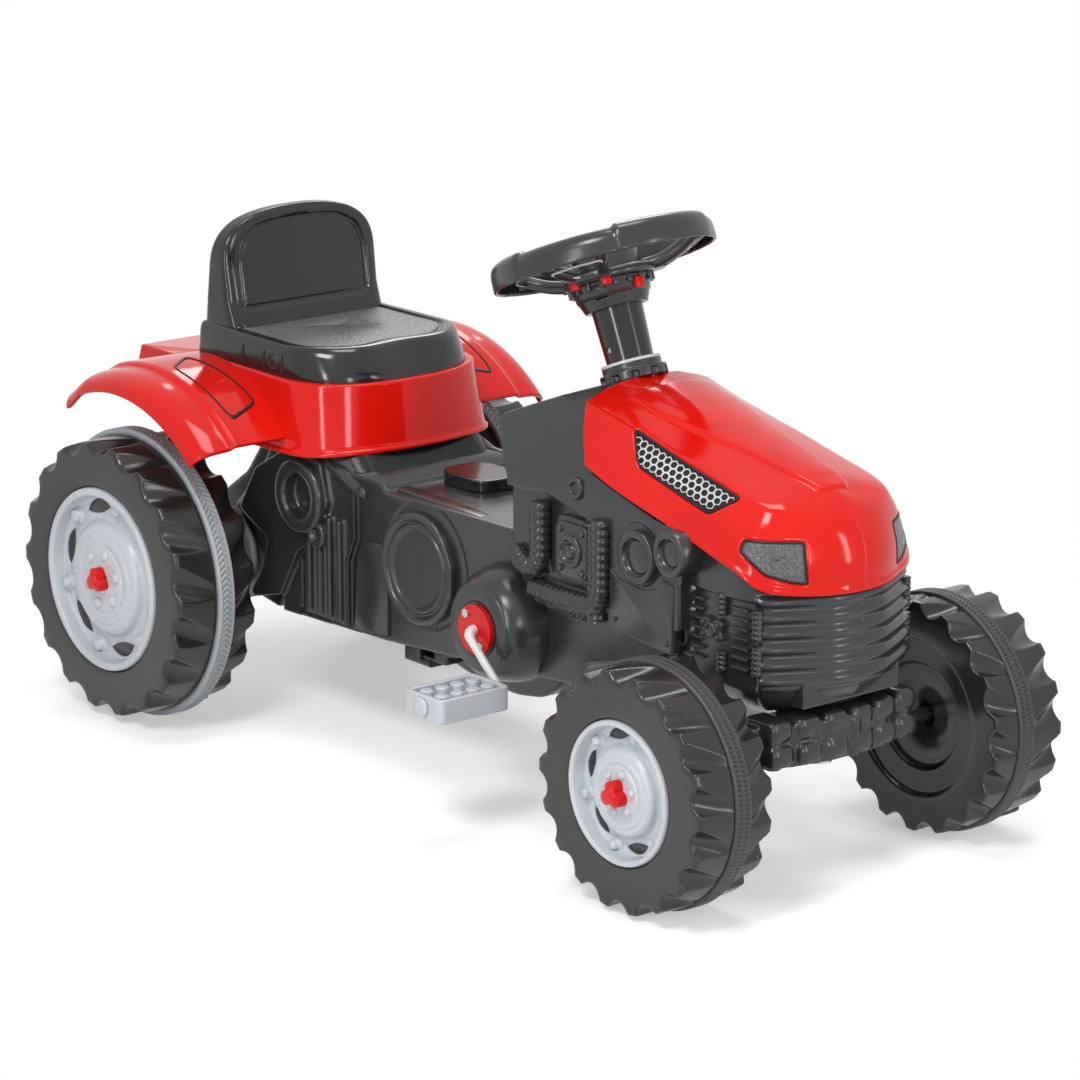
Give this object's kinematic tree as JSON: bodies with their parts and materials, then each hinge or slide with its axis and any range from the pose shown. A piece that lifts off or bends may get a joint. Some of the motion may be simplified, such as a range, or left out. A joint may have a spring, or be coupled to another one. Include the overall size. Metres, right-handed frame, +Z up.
{
  "type": "ride-on pedal tractor",
  "caption": "Child's ride-on pedal tractor with red hood and fenders, dark chassis, lugged wheels, chain drive, steering wheel and a seat with backrest.",
  "frame": {"origin": "on the floor, below the middle of the tractor's length and width", "axes": "+X forward, +Y to the driver's left, +Z up"},
  "size_m": [0.9856, 0.4882, 0.5453],
  "materials": {
    "red_plastic": "gloss",
    "cap_red": "gloss",
    "dark_plastic": "satin",
    "tyre_plastic": "satin",
    "light_grey_plastic": "satin",
    "seat_black": "gloss",
    "vent_black": "satin",
    "lamp_grey": "satin",
    "rear_band": "matte",
    "front_band": "matte",
    "white_paint": "satin",
    "steel": "brushed"
  },
  "bodies": {
    "chassis": {"chassis_right_shell": "dark_plastic", "chassis_left_shell": "dark_plastic", "engine_cowl_right": "dark_plastic", "engine_cowl_left": "dark_plastic", "hood": "red_plastic", "hood_vent_right": "vent_black", "hood_vent_left": "vent_black", "headlight_right": "lamp_grey", "headlight_left": "lamp_grey", "rear_body": "red_plastic", "seat": "seat_black", "seat_screws": "steel", "tow_hitch": "dark_plastic", "tunnel_cap": "seat_black", "crank_bush_right": "cap_red", "crank_bush_left": "cap_red", "crank_bush_screws": "steel", "rear_axle_bushes": "light_grey_plastic", "drive_chain": "steel", "chain_guard": "dark_plastic", "column_collar": "dark_plastic", "column_ring": "light_grey_plastic", "steering_lower_bush": "light_grey_plastic", "king_bolt": "steel"},
    "steering": {"steering_wheel": "dark_plastic", "steering_hub": "dark_plastic", "column_tube": "seat_black", "column_bolt": "steel", "steering_shaft": "steel"},
    "horn": {"horn_button": "cap_red", "horn_spring": "steel"},
    "front_axle": {"front_axle_beam": "dark_plastic", "front_axle_rod": "steel", "steering_tongue": "steel"},
    "front_wheel_right": {"front_tyre_right": "tyre_plastic", "front_traction_band_right": "front_band", "front_rim_right": "light_grey_plastic", "front_hub_cap_right": "cap_red"},
    "front_wheel_left": {"front_tyre_left": "tyre_plastic", "front_traction_band_left": "front_band", "front_rim_left": "light_grey_plastic", "front_hub_cap_left": "cap_red"},
    "rear_axle": {"rear_axle": "steel", "rear_sprocket": "steel", "rear_tyre_right": "tyre_plastic", "rear_traction_band_right": "rear_band", "rear_rim_right": "light_grey_plastic", "rear_hub_cap_right": "cap_red"},
    "rear_wheel_left": {"rear_tyre_left": "tyre_plastic", "rear_traction_band_left": "rear_band", "rear_rim_left": "light_grey_plastic", "rear_hub_cap_left": "cap_red"},
    "crank": {"crank_rod": "white_paint", "crank_sprocket": "steel", "pedal_push_nuts": "steel"},
    "pedal_right": {"pedal_right": "light_grey_plastic"},
    "pedal_left": {"pedal_left": "light_grey_plastic"}
  },
  "joints": [
    {"name": "steering_turn", "type": "hinge", "parent": "chassis", "child": "steering", "pos_m": [0.1582, 0, 0.392], "axis": [-0.3875, 0, 0.9219], "range_deg": [-40, 40]},
    {"name": "horn_press", "type": "slide", "parent": "steering", "child": "horn", "axis": [0.3875, 0, -0.9219], "range_m": [0, 0.004], "stiffness_N_per_m": 500, "deforming": ["horn_spring"]},
    {"name": "front_axle_turn", "type": "hinge", "parent": "chassis", "child": "front_axle", "pos_m": [0.4042, 0, 0.1086], "axis": [0, 0, 1], "range_deg": [-10.5, 10.5]},
    {"name": "front_wheel_right_spin", "type": "hinge", "parent": "front_axle", "child": "front_wheel_right", "pos_m": [0.3842, -0.165, 0.1086], "axis": [0, 1, 0], "continuous": true},
    {"name": "front_wheel_left_spin", "type": "hinge", "parent": "front_axle", "child": "front_wheel_left", "pos_m": [0.3842, 0.165, 0.1086], "axis": [0, 1, 0], "continuous": true},
    {"name": "rear_axle_spin", "type": "hinge", "parent": "chassis", "child": "rear_axle", "pos_m": [-0.3528, 0, 0.14], "axis": [0, 1, 0], "continuous": true},
    {"name": "rear_wheel_left_spin", "type": "hinge", "parent": "rear_axle", "child": "rear_wheel_left", "pos_m": [-0.3528, 0.183, 0.14], "axis": [0, 1, 0], "continuous": true},
    {"name": "crank_spin", "type": "hinge", "parent": "chassis", "child": "crank", "pos_m": [0.0892, 0, 0.17], "axis": [0, 1, 0], "continuous": true},
    {"name": "pedal_right_spin", "type": "hinge", "parent": "crank", "child": "pedal_right", "pos_m": [0.1375, -0.1865, 0.12801], "axis": [0, 1, 0], "continuous": true},
    {"name": "pedal_left_spin", "type": "hinge", "parent": "crank", "child": "pedal_left", "pos_m": [0.0409, 0.1865, 0.21199], "axis": [0, 1, 0], "continuous": true}
  ],
  "couplings": [
    {"joint": "crank_spin", "follows": "rear_axle_spin", "ratio": 0.5},
    {"joint": "steering_turn", "follows": "front_axle_turn", "ratio": 3.8018}
  ]
}
